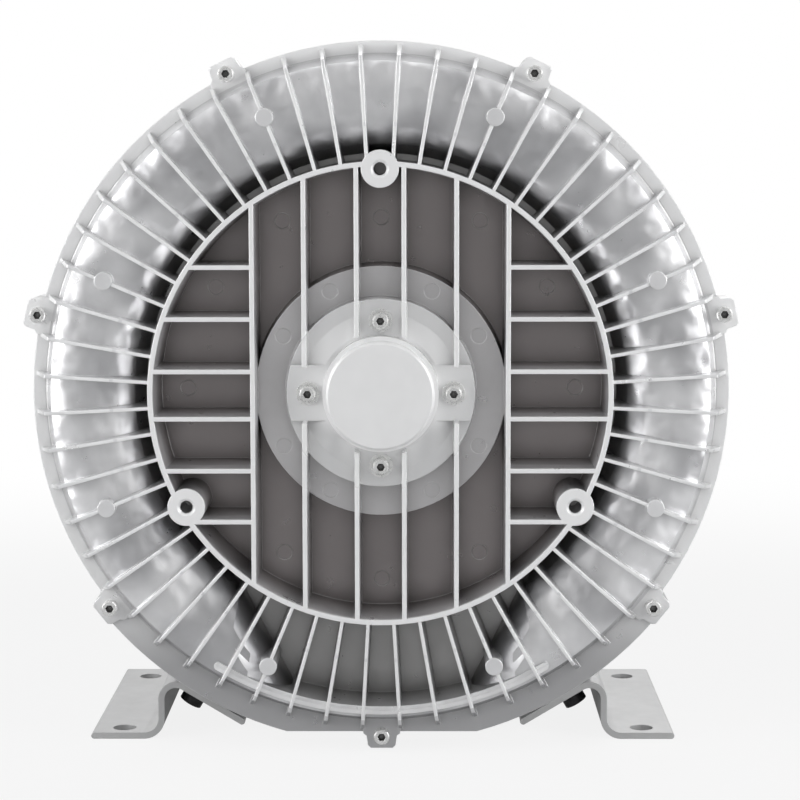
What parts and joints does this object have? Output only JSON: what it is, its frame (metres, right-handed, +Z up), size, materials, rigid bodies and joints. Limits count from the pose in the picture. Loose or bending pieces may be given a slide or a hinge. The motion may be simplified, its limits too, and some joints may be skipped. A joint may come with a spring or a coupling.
{
  "type": "side channel blower",
  "caption": "Side channel blower with a ribbed round die-cast housing, finned motor behind it, rear-facing silenced ports and bent sheet feet, for low-pressure air or vacuum.",
  "frame": {"origin": "centre of the four foot holes, on the floor under the feet", "axes": "+Z up, the shaft along Y at 0.197 m height, the ribbed cover facing -Y, +X to the right seen from the cover"},
  "size_m": [0.3828, 0.409, 0.3839],
  "materials": {
    "cast_aluminium": "die-cast, satin",
    "motor_aluminium": "die-cast, matt",
    "turned_aluminium": "fine turned, satin",
    "impeller_aluminium": "cast and machined",
    "foot_steel": "light grey coating",
    "bright_steel": "zinc plated",
    "black_steel": "black oxide",
    "bearing_steel": "ground",
    "shaft_steel": "turned and ground",
    "spring_steel": "hardened",
    "core_steel": "stacked sheet, varnished",
    "copper_winding": "varnished copper",
    "cowl_steel": "grey paint",
    "fan_plastic": "moulded",
    "black_plastic": "moulded",
    "board_plastic": "moulded",
    "stud_brass": "plain",
    "black_rubber": "moulded",
    "grey_fibre": "pressed fibre",
    "grey_foam": "open-cell foam"
  },
  "bodies": {
    "casing": {"front_cover": "cast_aluminium", "rear_housing": "cast_aluminium", "cover_screws": "bright_steel", "bearing_cap": "turned_aluminium", "bearing_retainer": "shaft_steel", "hub_screws": "bright_steel", "hub_washers": "bright_steel", "shaft_seal": "black_rubber", "front_bearing_outer_ring": "bearing_steel", "rear_bearing_outer_ring": "bearing_steel", "wave_spring": "spring_steel", "motor_frame": "motor_aluminium", "motor_bolts": "bright_steel", "stator_core": "core_steel", "windings": "copper_winding", "end_shield": "motor_aluminium", "shield_screws": "bright_steel", "fan_cowl": "cowl_steel", "cowl_screws": "bright_steel", "terminal_box": "motor_aluminium", "box_screws": "bright_steel", "lid_gasket": "black_rubber", "terminal_lid": "motor_aluminium", "lid_screws": "bright_steel", "terminal_board": "board_plastic", "terminal_studs": "stud_brass", "cable_gland": "black_plastic", "blanking_plug": "black_plastic", "left_silencer": "cast_aluminium", "right_silencer": "cast_aluminium", "silencer_screws": "bright_steel", "left_silencer_foam": "grey_foam", "right_silencer_foam": "grey_foam", "left_port_gasket": "grey_fibre", "right_port_gasket": "grey_fibre", "left_port_flange": "cast_aluminium", "right_port_flange": "cast_aluminium", "port_screws": "bright_steel", "left_foot": "foot_steel", "right_foot": "foot_steel", "foot_screws": "black_steel", "foot_washers": "black_steel"},
    "rotor": {"shaft": "shaft_steel", "impeller": "impeller_aluminium", "impeller_key": "shaft_steel", "lock_nut": "black_steel", "spacer_sleeve": "shaft_steel", "front_bearing_inner_ring": "bearing_steel", "rear_bearing_inner_ring": "bearing_steel", "rotor_core": "core_steel", "rotor_end_rings": "impeller_aluminium", "cooling_fan": "fan_plastic", "fan_clip": "spring_steel"},
    "front_ball_train": {"front_bearing_balls": "bearing_steel"},
    "rear_ball_train": {"rear_bearing_balls": "bearing_steel"}
  },
  "joints": [
    {"name": "rotor_spin", "type": "hinge", "parent": "casing", "child": "rotor", "pos_m": [0, 0, 0.197], "axis": [0, 1, 0], "continuous": true},
    {"name": "front_balls_spin", "type": "hinge", "parent": "casing", "child": "front_ball_train", "pos_m": [0, -0.096, 0.197], "axis": [0, 1, 0], "continuous": true},
    {"name": "rear_balls_spin", "type": "hinge", "parent": "casing", "child": "rear_ball_train", "pos_m": [0, 0.1855, 0.197], "axis": [0, 1, 0], "continuous": true}
  ],
  "couplings": [
    {"joint": "front_balls_spin", "follows": "rotor_spin", "ratio": 0.3965},
    {"joint": "rear_balls_spin", "follows": "rotor_spin", "ratio": 0.3969}
  ]
}
